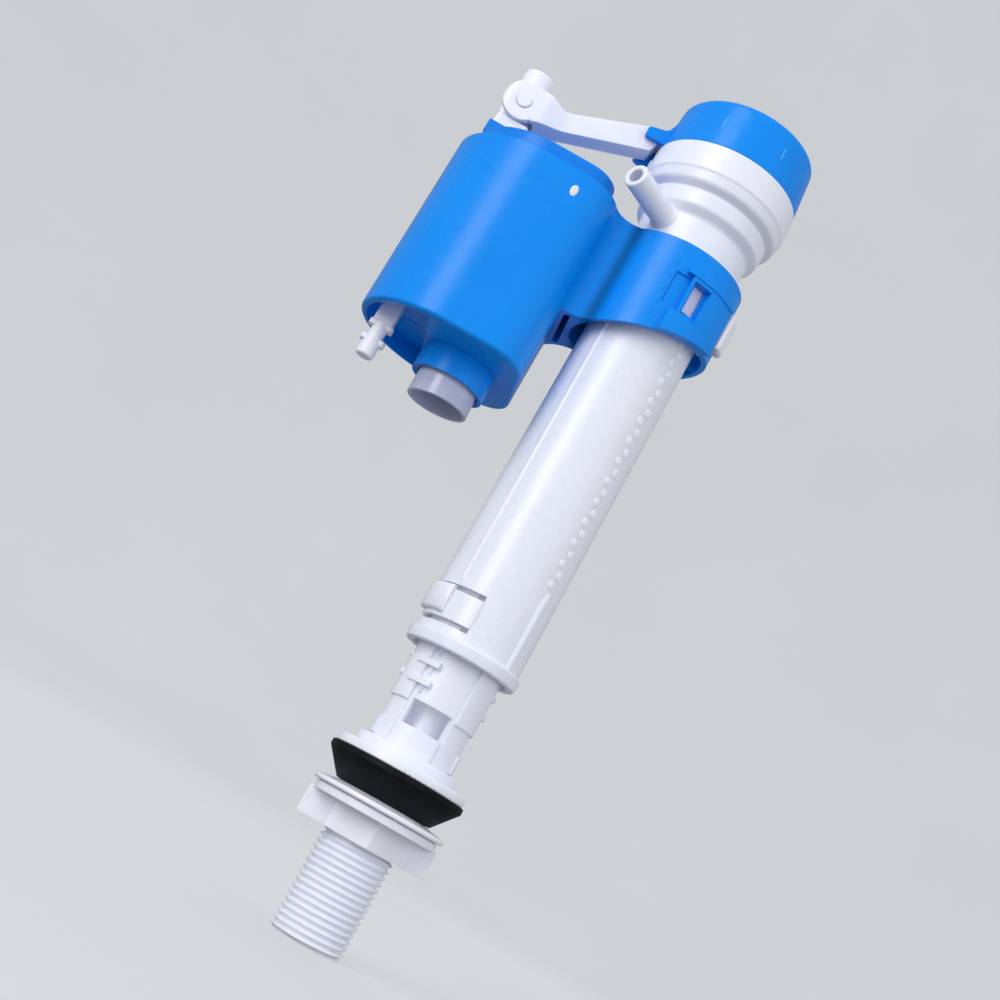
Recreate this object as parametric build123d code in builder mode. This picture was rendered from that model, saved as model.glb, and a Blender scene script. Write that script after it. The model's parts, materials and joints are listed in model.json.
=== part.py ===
from build123d import *
import math
import os

# Toilet fill valve with a float cup beside the tube. All sizes are in millimetres.
# Origin: centre of the threaded shank's lower end face. +Z runs up the tube axis,
# the float cup stands on the -X side. Azimuths are measured about +Z from -Y towards +X.

# ---- driving dimensions -------------------------------------------------------

THREAD_CREST_R = 20.955 / 2        # G1/2 major diameter
THREAD_PITCH = 25.4 / 14
THREAD_DEPTH = 0.640327 * THREAD_PITCH
THREAD_FLAT = 0.25
THREAD_START = 0.95
THREAD_TURNS = 24
INLET_R = 7.0
INLET_DEPTH = 47.0

FLANGE_R = 19.1
FLANGE_Z = 48.4
FLANGE_T = 2.5
STEP_R = 14.76
STEP_Z = FLANGE_Z + FLANGE_T
SLEEVE_Z = 53.9
SLEEVE_TOP = 150.0
SLEEVE_R = 11.6
SLEEVE_WALL = 1.4
RAIL_R = 12.57
PIPE_R = 5.0
PIPE_BORE_R = 3.6
PIPE_TOP = 148.0
O_RING_Z = (PIPE_TOP - 4.0, PIPE_TOP - 8.0)
O_RING_WIRE_R = 0.58
O_RING_GROOVE_R = PIPE_R - 0.75
WINDOW_LOW = 60.1
WINDOW_HIGH = 67.0
RACK_R = 13.2
TOOTH_PITCH = 5.4
TOOTH_FIRST_Z = 72.1
TOOTH_COUNT = 13

GASKET_R = 19.7
GASKET_LOW_R = 14.0
GASKET_LOW_Z = 40.0
WASHER_R = 19.3
WASHER_T = 1.7
WASHER_DISH = 1.1
WASHER_FLAT_R = 12.6
WASHER_Z = 37.1
NUT_Z = 27.7
NUT_STEP_R = 18.0
NUT_STEP_Z = 34.9
NUT_HUB_R = 13.4
NUT_HUB_AZ = -53
NUT_WING_R = 18.9
NUT_WING_T = 1.8
NUT_BORE_R = THREAD_CREST_R + 0.09

TUBE_R = 15.85
TUBE_TOP_R = 15.6
TUBE_IN_R = 14.3
TUBE_Z = 81.5
TUBE_TOP = 215.5
RIM_R = 16.87
LATCH_LOW = 88.9
LATCH_HIGH = 97.1
LATCH_ROOT_AZ = -10
LATCH_TIP_AZ = -92
LATCH_PAD_AZ = (-90, -60)
LATCH_PAD_Z = (LATCH_LOW + 1.9, LATCH_HIGH + 0.7)

SUPPLY_R = 6.9
SUPPLY_BORE_R = 5.45
SUPPLY_LOW = 90.0
SUPPLY_TOP = 226.0

NECK_R = 17.2
NECK_LOW = 209.8
HEAD_R = 22.8
HEAD_TOP = 244.0
HEAD_NECK_R = 20.2
HEAD_NECK_TOP = 248.6
CHAMBER_R = 18.6
DECK_Z = 227.0
DECK_T = 2.4
SEAT_R = 7.6
SEAT_BORE_R = 5.6
SEAT_Z = 238.0
NOZZLE_AZ = -43
NOZZLE_Z = 220.4
NOZZLE_R = 3.6
NOZZLE_BORE_R = 2.1
NOZZLE_REACH = 35.4
NOZZLE_FOOT = NECK_R + 1.6

DIAPHRAGM_T = 1.4
CORE_R = 3.2
PLATE_Z = SEAT_Z + 3.2
PLATE_T = 2.4
JET_Z = 245.4
PLUNGER_X = -16.0
PLUNGER_R = 1.5
PLUNGER_GAP = 2.12

CAP_R = 22.6
CAP_TOP_R = 21.3
CAP_TOP = 260.5
CAP_WALL = 1.8
EAR_TIP_X = -28.4
EAR_IN_Y = 3.9
EAR_T = 2.1

PIVOT_X = -25.9
PIVOT_Z = 246.0
LEVER_W = 7.0
KNUCKLE_X = -64.0
KNUCKLE_Z = 234.4
KNUCKLE_R = 6.3
KNUCKLE_W = 12.0
SWIVEL_W = 7.6
SWIVEL_R = 4.9
TRUNNION_R = 2.4
SCREW_R = 2.0
SCREW_HEAD_R = 4.75
SCREW_HEAD_Z = 240.9
SCREW_TOP = 246.2

CUP_X = -48.0
CUP_R = 25.8
CUP_RIGHT = -24.0
CUP_CORNER_R = 12.0
CUP_WALL = 1.8
CUP_TOP = 213.4
CUP_BOTTOM = 155.8
CUP_FLOOR_T = 2.6
POCKET_RIGHT = -53.2
POCKET_Z = 161.0
SOCKET_X = -41.5
SOCKET_R = 11.15
SOCKET_IN_R = 10.35
SOCKET_LOW = 148.3
DRAIN_SEAT_R = 6.5
COLLAR_R = 20.5
COLLAR_IN_R = 19.0
COLLAR_SLOPE = 0.25
COLLAR_LOW_Z = 185.5
COLLAR_BASE = COLLAR_LOW_Z - 8
BELT_R = 22.3
BLOCK_AZ = (5, 57.5)
TAB_SLOT_AZ = (57.5, 87)
TAB_SLOT_Z = (192.9, 206.2)

FLOAT_GAP = 1.4
FLOAT_WALL = 1.6
FLOAT_LOW = 164.6
FLOAT_TOP = 219.0
HOOK_FOOT_Z = FLOAT_TOP + 0.3
PIN_X = -65.4
PIN_Y = -3.5
PIN_TIP_Z = 142.8
PIN_LUG_Z = (PIN_TIP_Z + 4.4, PIN_TIP_Z + 9.4)

CLIP_IN_R = 16.35
CLIP_OUT_R = 18.85
CLIP_Z = (192.2, 207.4)
TAB_R = 23.2
TAB_Z = (193.7, 205.4)
DRAIN_R = 9.2
DRAIN_LOW = 141.8
DRAIN_MID_Z = 150.4
DRAIN_TILT = -2.5

# ---- helpers ----------------------------------------------------------------


def polar(radius, azimuth):
    """Point on the level plane; azimuth 0 faces -Y and 90 faces +X."""
    angle = math.radians(azimuth)
    return (radius * math.sin(angle), -radius * math.cos(angle))


def turned(outline):
    """Half section on the XZ plane from (radius, height, corner radius) rows."""
    with BuildSketch(Plane.XZ) as section:
        with BuildLine():
            FilletPolyline(
                [(radius, height) for radius, height, _ in outline],
                radius=[corner for _, _, corner in outline],
                close=True,
            )
        make_face()
    return section.sketch


def ring(inner, outer, low, high):
    """Half section of a plain ring."""
    return turned([(inner, low, 0), (outer, low, 0), (outer, high, 0), (inner, high, 0)])


def sector(inner, outer, az_from, az_to, height):
    """Flat ring sector at a height, between two azimuths."""
    start = az_from - 90
    sweep_angle = az_to - az_from
    with BuildSketch(Plane.XY.offset(height)) as flat:
        with BuildLine():
            arc_out = CenterArc((0, 0), outer, start, sweep_angle)
            arc_in = CenterArc((0, 0), inner, start, sweep_angle)
            Line(arc_out @ 0, arc_in @ 0)
            Line(arc_out @ 1, arc_in @ 1)
        make_face()
    return flat.sketch


def disc(radius, height, x=0.0, y=0.0):
    """Flat disc at a height."""
    with BuildSketch(Plane.XY.offset(height)) as flat:
        with Locations((x, y)):
            Circle(radius)
    return flat.sketch


def slab(x_size, y_size, height, x=0.0, y=0.0, corner=0.0):
    """Flat rectangle at a height, with optional rounded corners."""
    with BuildSketch(Plane.XY.offset(height)) as flat:
        with Locations((x, y)):
            if corner:
                RectangleRounded(x_size, y_size, corner)
            else:
                Rectangle(x_size, y_size)
    return flat.sketch


def cup_plan(inset, height):
    """Plan of the float cup: round outer end, flat sides, rounded corners by the tube."""
    radius = CUP_R - inset
    right = CUP_RIGHT - inset
    corner = CUP_CORNER_R - inset
    with BuildSketch(Plane.XY.offset(height)) as plan:
        with BuildLine():
            far_side = Line((CUP_X, radius), (right - corner, radius))
            far_corner = RadiusArc(far_side @ 1, (right, radius - corner), corner)
            flank = Line(far_corner @ 1, (right, corner - radius))
            near_corner = RadiusArc(flank @ 1, (right - corner, -radius), corner)
            near_side = Line(near_corner @ 1, (CUP_X, -radius))
            ThreePointArc(near_side @ 1, (CUP_X - radius, 0), far_side @ 0)
        make_face()
    return plan.sketch


def bracket_plan(height):
    """Plan of the web between cup and collar, with its two hollow flanks."""
    cup_point = (-24.46, -17.3)
    valley = (-20.2, -13.3)
    collar_point = (-15.2, -math.sqrt(COLLAR_R**2 - 15.2**2))
    with BuildSketch(Plane.XY.offset(height)) as plan:
        with BuildLine():
            near = ThreePointArc(cup_point, valley, collar_point)
            far = ThreePointArc(
                (cup_point[0], -cup_point[1]),
                (valley[0], -valley[1]),
                (collar_point[0], -collar_point[1]),
            )
            Line(near @ 0, far @ 0)
            Line(near @ 1, far @ 1)
        make_face()
    return plan.sketch


def wing_plan(side, height):
    """Plan of one nut wing: two hollow flanks from the hub's corners to a thin tip."""
    near_corner = polar(NUT_HUB_R, NUT_HUB_AZ if side < 0 else NUT_HUB_AZ + 120)
    far_corner = polar(NUT_HUB_R, NUT_HUB_AZ - 60 if side < 0 else NUT_HUB_AZ + 180)
    tip_x = side * NUT_WING_R
    root_x = side * (NUT_HUB_R + 1.4)
    with BuildSketch(Plane.XY.offset(height)) as plan:
        with BuildLine():
            near = ThreePointArc(near_corner, (root_x, -2.6), (tip_x, -NUT_WING_T / 2))
            far = ThreePointArc(far_corner, (root_x, 2.6), (tip_x, NUT_WING_T / 2))
            Line(near @ 1, far @ 1)
            Line(near @ 0, far @ 0)
        make_face()
    return plan.sketch


def finish(builder, label):
    """Name a finished piece and write it."""
    builder.part.label = label
    export_step(builder.part, f"parts/{label}.step")


os.makedirs("parts", exist_ok=True)

# ---- threaded shank -----------------------------------------------------------

thread_root = THREAD_CREST_R - THREAD_DEPTH
thread_outline = [
    (INLET_R + 0.6, 0, 0),
    (THREAD_CREST_R - 0.75, 0, 0),
    (THREAD_CREST_R - 0.3, 0.45, 0),
]
for turn in range(THREAD_TURNS):
    root_z = THREAD_START + turn * THREAD_PITCH
    crest_z = root_z + THREAD_PITCH / 2
    thread_outline.append((thread_root, root_z, 0))
    thread_outline.append((THREAD_CREST_R, crest_z - THREAD_FLAT / 2, 0))
    thread_outline.append((THREAD_CREST_R, crest_z + THREAD_FLAT / 2, 0))
thread_end = THREAD_START + THREAD_TURNS * THREAD_PITCH
thread_outline += [
    (thread_root, thread_end, 0),
    (thread_root, FLANGE_Z, 0),
    (FLANGE_R, FLANGE_Z, 0.4),
    (FLANGE_R - 0.25, STEP_Z, 0.4),
    (STEP_R, STEP_Z, 0),
    (STEP_R, SLEEVE_Z, 0.3),
    (PIPE_R, SLEEVE_Z, 0),
    (PIPE_R, PIPE_TOP, 0.6),
    (PIPE_BORE_R, PIPE_TOP, 0),
    (PIPE_BORE_R, INLET_DEPTH + 2, 0),
    (INLET_R, INLET_DEPTH, 0),
    (INLET_R, 0.6, 0),
]

with BuildPart() as threaded_shank:
    revolve(turned(thread_outline), axis=Axis.Z)
    # rack sleeve with its foot
    revolve(ring(SLEEVE_R - SLEEVE_WALL, SLEEVE_R, SLEEVE_Z - 0.5, SLEEVE_TOP), axis=Axis.Z)
    for az_from, az_to in ((-112, -40), (30, 112), (140, 220)):
        extrude(sector(SLEEVE_R - 0.6, RAIL_R - 0.7, az_from, az_to, SLEEVE_Z - 0.4), amount=12.6)
        extrude(sector(SLEEVE_R - 0.6, RAIL_R, az_from, az_to, 66.0), amount=SLEEVE_TOP - 66.0)
    # foot blocks below the windows, and the swelling ribs at both sides
    for az_mid in (-5, 126):
        extrude(sector(SLEEVE_R - 0.6, RAIL_R - 0.35, az_mid - 33, az_mid + 29, 53.5), amount=6.4)
    for az_mid in (-90, 90):
        extrude(sector(SLEEVE_R - 0.6, RAIL_R + 0.05, az_mid - 22, az_mid + 22, 54.6), amount=4.8)
    # windows through the front and back panels
    for az_mid in (-4, 176):
        window = sector(SLEEVE_R - 3, RAIL_R + 3, az_mid - 30, az_mid + 30, WINDOW_LOW)
        extrude(window, amount=WINDOW_HIGH - WINDOW_LOW, mode=Mode.SUBTRACT)
    # rack: round teeth on both sides, bars and small stops on the front-left panel
    for tooth in range(TOOTH_COUNT):
        tooth_z = TOOTH_FIRST_Z + tooth * TOOTH_PITCH
        extrude(sector(RAIL_R - 0.5, RAIL_R + 0.9, 80, 100, tooth_z - 0.9), amount=1.8)
        extrude(sector(RAIL_R - 0.5, RAIL_R + 0.5, -100, -84, tooth_z - 0.1), amount=1.4)
        extrude(sector(SLEEVE_R - 0.3, RACK_R, -55, -21, tooth_z - 1.2), amount=1.7)
        extrude(sector(SLEEVE_R - 0.3, SLEEVE_R + 0.6, -33, -29, tooth_z - 3.2), amount=2.1)
    tooth_edges = threaded_shank.edges().filter_by(
        lambda e: e.geom_type == GeomType.CIRCLE and abs(e.radius - RAIL_R - 0.9) < 0.01
    )
    fillet(tooth_edges, radius=0.8)
    # grooves for the two sealing rings
    for ring_z in O_RING_Z:
        groove = ring(O_RING_GROOVE_R, PIPE_R + 1.0, ring_z - 0.8, ring_z + 0.8)
        revolve(groove, axis=Axis.Z, mode=Mode.SUBTRACT)
finish(threaded_shank, "threaded_shank")

with BuildPart() as riser_o_rings:
    for ring_z in O_RING_Z:
        with BuildSketch(Plane.XZ):
            with Locations((O_RING_GROOVE_R + O_RING_WIRE_R + 0.02, ring_z)):
                Circle(O_RING_WIRE_R)
        revolve(axis=Axis.Z)
finish(riser_o_rings, "riser_o_rings")

# ---- tank gasket, washer and nut -----------------------------------------------

with BuildPart() as tank_gasket:
    revolve(
        turned([
            (NUT_BORE_R + 0.1, GASKET_LOW_Z, 0),
            (GASKET_LOW_R, GASKET_LOW_Z, 0.5),
            (GASKET_R, FLANGE_Z - 1.6, 0.4),
            (GASKET_R, FLANGE_Z, 0.3),
            (NUT_BORE_R + 0.1, FLANGE_Z, 0),
        ]),
        axis=Axis.Z,
    )
finish(tank_gasket, "tank_gasket")

with BuildPart() as slip_washer:
    revolve(
        turned([
            (NUT_BORE_R + 0.2, WASHER_Z + WASHER_DISH, 0),
            (WASHER_FLAT_R, WASHER_Z + WASHER_DISH, 3.0),
            (NUT_STEP_R - 0.4, WASHER_Z + 0.1, 0.2),
            (NUT_STEP_R - 0.2, WASHER_Z + 0.4, 0.2),
            (WASHER_R, WASHER_Z + 0.3, 0.5),
            (WASHER_R - 0.1, WASHER_Z + WASHER_T - 0.1, 0.7),
            (WASHER_FLAT_R, WASHER_Z + WASHER_T + WASHER_DISH, 5.0),
            (NUT_BORE_R + 0.2, WASHER_Z + WASHER_T + WASHER_DISH, 0),
        ]),
        axis=Axis.Z,
    )
finish(slip_washer, "slip_washer")

with BuildPart() as lock_nut:
    with BuildSketch(Plane.XY.offset(NUT_Z)):
        RegularPolygon(NUT_HUB_R, 6, rotation=NUT_HUB_AZ - 90)
    extrude(amount=NUT_STEP_Z - NUT_Z + 0.5)
    # two thin wings that sweep into the hub's corners
    for side in (-1, 1):
        extrude(wing_plan(side, NUT_Z), amount=NUT_STEP_Z - NUT_Z + 0.5)
    revolve(
        turned([
            (8.0, NUT_STEP_Z, 0),
            (NUT_STEP_R, NUT_STEP_Z, 0.4),
            (NUT_STEP_R, WASHER_Z - 0.05, 0.3),
            (WASHER_FLAT_R, WASHER_Z + WASHER_DISH - 0.05, 3.0),
            (8.0, WASHER_Z + WASHER_DISH - 0.05, 0),
        ]),
        axis=Axis.Z,
    )
    revolve(ring(0, NUT_BORE_R, NUT_Z - 1, WASHER_Z + 3), axis=Axis.Z, mode=Mode.SUBTRACT)
finish(lock_nut, "lock_nut")

# ---- inlet filter -------------------------------------------------------------

with BuildPart() as inlet_filter:
    revolve(
        turned([
            (4.6, 1.2, 0),
            (INLET_R - 0.04, 1.2, 0.2),
            (INLET_R - 0.04, 2.8, 0),
            (5.6, 2.8, 0),
            (4.4, 19.0, 0.4),
            (0, 19.0, 0),
            (0, 18.0, 0),
            (3.4, 18.0, 0),
            (4.6, 2.8, 0),
        ]),
        axis=Axis.Z,
    )
    for slot_z in (6.5, 11.5, 16.0):
        with Locations((0, 0, slot_z)):
            with PolarLocations(0, 4):
                Box(14, 1.6, 2.6, mode=Mode.SUBTRACT)
finish(inlet_filter, "inlet_filter")

# ---- outer tube and its latch -----------------------------------------------------

with BuildPart() as outer_tube:
    revolve(
        turned([
            (TUBE_IN_R, TUBE_Z, 0),
            (RIM_R - 0.3, TUBE_Z, 0.5),
            (RIM_R, TUBE_Z + 3.4, 0.7),
            (TUBE_R, TUBE_Z + 4.0, 0.4),
            (TUBE_TOP_R, TUBE_TOP, 0.3),
            (TUBE_IN_R, TUBE_TOP, 0),
        ]),
        axis=Axis.Z,
    )
    # guide rib on the right, long ridge on the left
    rib_x, rib_y = polar(TUBE_R - 0.75, 46)
    extrude(disc(1.45, TUBE_Z + 2.5, rib_x, rib_y), amount=22.5)
    ridge_x, ridge_y = polar(TUBE_R - 1.15, -44)
    extrude(disc(1.3, LATCH_HIGH + 3.4, ridge_x, ridge_y), amount=NECK_LOW - LATCH_HIGH - 4.0)
    # opening that frees the latch tongue
    opening = sector(TUBE_IN_R - 1, TUBE_R + 2, LATCH_TIP_AZ - 3, LATCH_ROOT_AZ, LATCH_LOW - 1.5)
    extrude(opening, amount=LATCH_HIGH - LATCH_LOW + 3.0, mode=Mode.SUBTRACT)
finish(outer_tube, "outer_tube")

with BuildPart() as height_latch:
    tongue = sector(TUBE_IN_R, TUBE_R - 0.05, LATCH_TIP_AZ, LATCH_ROOT_AZ, LATCH_LOW)
    extrude(tongue, amount=LATCH_HIGH - LATCH_LOW)
    pad = sector(TUBE_R - 0.6, TUBE_R + 1.1, *LATCH_PAD_AZ, LATCH_PAD_Z[0])
    extrude(pad, amount=LATCH_PAD_Z[1] - LATCH_PAD_Z[0])
    extrude(sector(RACK_R + 0.25, TUBE_IN_R + 0.2, -40, -26, LATCH_LOW + 0.8), amount=2.0)
    pad_edges = height_latch.edges().filter_by(
        lambda e: math.hypot(e.center().X, e.center().Y) > TUBE_R + 0.6
    )
    fillet(pad_edges, radius=0.5)
finish(height_latch, "height_latch")

# ---- supply tube ------------------------------------------------------------------

with BuildPart() as supply_tube:
    revolve(
        turned([
            (SUPPLY_BORE_R + 0.5, SUPPLY_LOW, 0),
            (SUPPLY_R, SUPPLY_LOW, 0.3),
            (SUPPLY_R, SUPPLY_TOP, 0.3),
            (SUPPLY_BORE_R, SUPPLY_TOP, 0),
            (SUPPLY_BORE_R, SUPPLY_LOW + 1.0, 0),
        ]),
        axis=Axis.Z,
    )
finish(supply_tube, "supply_tube")

# ---- valve head with the refill nozzle ----------------------------------------------

nozzle_dir = (*polar(1.0, NOZZLE_AZ), 0)

with BuildPart() as valve_head:
    revolve(
        turned([
            (TUBE_TOP_R + 0.05, NECK_LOW, 0),
            (NECK_R, NECK_LOW, 0.3),
            (NECK_R, 223.3, 2.2),
            (19.5, 225.6, 1.6),
            (19.9, 229.6, 0.9),
            (19.6, 230.6, 0.35),
            (21.9, 232.0, 1.8),
            (22.45, 235.0, 0.5),
            (HEAD_R, 235.7, 0.5),
            (HEAD_R, HEAD_TOP, 0.35),
            (HEAD_NECK_R, HEAD_TOP, 0),
            (HEAD_NECK_R, HEAD_NECK_TOP, 0.3),
            (CHAMBER_R + 0.5, HEAD_NECK_TOP, 0),
            (CHAMBER_R + 0.5, SEAT_Z - 0.2, 0),
            (CHAMBER_R - 1.4, SEAT_Z - 0.2, 0),
            (CHAMBER_R - 1.4, DECK_Z + DECK_T, 0.8),
            (SEAT_R, DECK_Z + DECK_T, 0.8),
            (SEAT_R, SEAT_Z, 0.3),
            (SEAT_BORE_R, SEAT_Z, 0.3),
            (SEAT_BORE_R, SUPPLY_TOP + 0.1, 0),
            (SUPPLY_R + 0.05, SUPPLY_TOP + 0.1, 0),
            (SUPPLY_R + 0.05, 216.5, 0),
            (SUPPLY_R + 2.2, 216.5, 0.3),
            (SUPPLY_R + 2.2, DECK_Z, 0.8),
            (TUBE_TOP_R - 0.9, DECK_Z, 0.8),
            (TUBE_TOP_R - 0.9, TUBE_TOP + 0.1, 0),
            (TUBE_TOP_R + 0.05, TUBE_TOP + 0.1, 0),
        ]),
        axis=Axis.Z,
    )
    # refill nozzle through the neck, open to the outlet chamber, with a flared root
    with BuildSketch(Plane(origin=(*polar(15.5, NOZZLE_AZ), NOZZLE_Z), z_dir=nozzle_dir)):
        Circle(NOZZLE_R)
    extrude(amount=NOZZLE_REACH - 15.5)
    with BuildSketch(Plane(origin=(*polar(NOZZLE_FOOT, NOZZLE_AZ), NOZZLE_Z), z_dir=-Vector(*nozzle_dir))):
        Circle(NOZZLE_R)
    extrude(amount=NOZZLE_FOOT - 15.8, taper=-22)
    with BuildSketch(Plane(origin=(*polar(13.5, NOZZLE_AZ), NOZZLE_Z), z_dir=nozzle_dir)):
        Circle(NOZZLE_BORE_R)
    extrude(amount=NOZZLE_REACH, mode=Mode.SUBTRACT)
    # four ports let water past the seat and down the tube
    with BuildSketch(Plane.XY.offset(DECK_Z - 1)):
        with PolarLocations(12.2, 4, start_angle=45):
            Circle(2.4)
    extrude(amount=DECK_T + 2, mode=Mode.SUBTRACT)
    # notch for the lever
    extrude(slab(12, LEVER_W + 2.4, HEAD_TOP + 0.01, x=-20), amount=8, mode=Mode.SUBTRACT)
    tip_edges = valve_head.edges().filter_by(GeomType.CIRCLE).filter_by(
        lambda e: math.hypot(e.center().X, e.center().Y) > NOZZLE_REACH - 0.1
    )
    fillet(tip_edges, radius=0.45)
finish(valve_head, "valve_head")

# ---- diaphragm, pilot plate and plunger ---------------------------------------------

with BuildPart() as diaphragm:
    revolve(
        turned([
            (CORE_R, SEAT_Z, 0),
            (CHAMBER_R + 0.4, SEAT_Z, 0.2),
            (CHAMBER_R + 0.4, PLATE_Z - 0.6, 0.2),
            (CHAMBER_R - 1.6, PLATE_Z - 0.6, 0),
            (CHAMBER_R - 2.4, SEAT_Z + DIAPHRAGM_T, 0),
            (CORE_R, SEAT_Z + DIAPHRAGM_T, 0),
        ]),
        axis=Axis.Z,
    )
finish(diaphragm, "diaphragm")

with BuildPart() as diaphragm_core:
    revolve(
        turned([
            (0.9, SEAT_Z - 4.0, 0),
            (2.6, SEAT_Z - 4.0, 0.3),
            (CORE_R, SEAT_Z, 0),
            (CORE_R, SEAT_Z + DIAPHRAGM_T, 0),
            (5.4, SEAT_Z + DIAPHRAGM_T, 0),
            (5.4, SEAT_Z + DIAPHRAGM_T + 0.8, 0.2),
            (0.9, SEAT_Z + DIAPHRAGM_T + 0.8, 0),
        ]),
        axis=Axis.Z,
    )
finish(diaphragm_core, "diaphragm_core")

with BuildPart() as pilot_plate:
    revolve(
        turned([
            (0, PLATE_Z, 0),
            (6.0, PLATE_Z, 0),
            (6.0, PLATE_Z - 0.3, 0),
            (CHAMBER_R - 2.8, PLATE_Z - 0.3, 0),
            (CHAMBER_R + 0.4, PLATE_Z - 0.6, 0),
            (CHAMBER_R + 0.4, PLATE_Z + PLATE_T, 0.2),
            (0, PLATE_Z + PLATE_T, 0),
        ]),
        axis=Axis.Z,
    )
    extrude(disc(1.9, PLATE_Z + PLATE_T - 0.2, PLUNGER_X), amount=JET_Z - PLATE_Z - PLATE_T + 0.2)
    extrude(disc(0.6, PLATE_Z - 1.5, PLUNGER_X), amount=8, mode=Mode.SUBTRACT)
    extrude(disc(0.62, PLATE_Z - 1.5), amount=3.2, mode=Mode.SUBTRACT)
    groove = ring(CHAMBER_R - 0.7, CHAMBER_R + 1, PLATE_Z + 0.2, PLATE_Z + 1.8)
    revolve(groove, axis=Axis.Z, mode=Mode.SUBTRACT)
finish(pilot_plate, "pilot_plate")

with BuildPart() as bleed_pin:
    extrude(disc(0.6, SEAT_Z - 4.6), amount=PLATE_Z + 1.4 - SEAT_Z + 4.6)
finish(bleed_pin, "bleed_pin")

with BuildPart() as plate_o_ring:
    with BuildSketch(Plane.XZ):
        with Locations((CHAMBER_R - 0.12, PLATE_Z + 1.0)):
            Circle(0.56)
    revolve(axis=Axis.Z)
finish(plate_o_ring, "plate_o_ring")

seal_low = JET_Z + PLUNGER_GAP
with BuildPart() as pilot_seal:
    extrude(disc(1.5, seal_low, PLUNGER_X), amount=1.2)
finish(pilot_seal, "pilot_seal")

with BuildPart() as pilot_plunger:
    extrude(disc(PLUNGER_R, seal_low + 1.2, PLUNGER_X), amount=0.9)
    extrude(disc(1.0, seal_low + 2.1, PLUNGER_X), amount=8.0)
    extrude(disc(PLUNGER_R, seal_low + 5.4, PLUNGER_X), amount=0.8)
finish(pilot_plunger, "pilot_plunger")

# ---- valve cap ------------------------------------------------------------------------

with BuildPart() as valve_cap:
    revolve(
        turned([
            (HEAD_NECK_R + 0.25, HEAD_TOP + 0.05, 0),
            (CAP_R, HEAD_TOP + 0.05, 0.4),
            (CAP_TOP_R, CAP_TOP, 2.0),
            (0, CAP_TOP + 0.25, 0),
            (0, CAP_TOP - CAP_WALL, 0),
            (CAP_TOP_R - CAP_WALL, CAP_TOP - CAP_WALL, 1.0),
            (CAP_R - CAP_WALL - 0.6, HEAD_NECK_TOP + 1.0, 0),
            (HEAD_NECK_R + 0.25, HEAD_NECK_TOP + 0.4, 0),
        ]),
        axis=Axis.Z,
    )
    # ears that carry the lever
    for side in (-1, 1):
        with BuildSketch(Plane.XZ.offset(-side * EAR_IN_Y)):
            with BuildLine():
                FilletPolyline(
                    [
                        (EAR_TIP_X, 244.2),
                        (-20.8, 244.2),
                        (-20.8, 253.6),
                        (-22.8, 248.6),
                        (EAR_TIP_X, 247.2),
                    ],
                    radius=[0.8, 0, 0, 2.5, 0.9],
                    close=True,
                )
            make_face()
        extrude(amount=-side * EAR_T)
    # the far ear reaches further down, past the head's rim
    with BuildSketch(Plane.XZ.offset(-EAR_IN_Y)):
        with BuildLine():
            FilletPolyline(
                [(EAR_TIP_X, 240.9), (-23.4, 239.4), (-23.4, 245.0), (EAR_TIP_X, 245.4)],
                radius=[0.8, 0.3, 0, 0],
                close=True,
            )
        make_face()
    extrude(amount=-EAR_T)
    # slot for the lever, pivot holes in the ears, guide bush for the plunger
    extrude(slab(14, 2 * EAR_IN_Y, HEAD_TOP - 1, x=-23.5), amount=7.0, mode=Mode.SUBTRACT)
    with BuildSketch(Plane.XZ.offset(-EAR_IN_Y - 1.2)):
        with Locations((PIVOT_X, PIVOT_Z)):
            Circle(1.25)
    extrude(amount=2 * EAR_IN_Y + 2.4, mode=Mode.SUBTRACT)
    extrude(disc(2.6, seal_low + 6.7, PLUNGER_X), amount=4.6)
    extrude(disc(1.06, seal_low + 6.5, PLUNGER_X), amount=4.2, mode=Mode.SUBTRACT)
finish(valve_cap, "valve_cap")

# ---- lever ------------------------------------------------------------------------------

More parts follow.
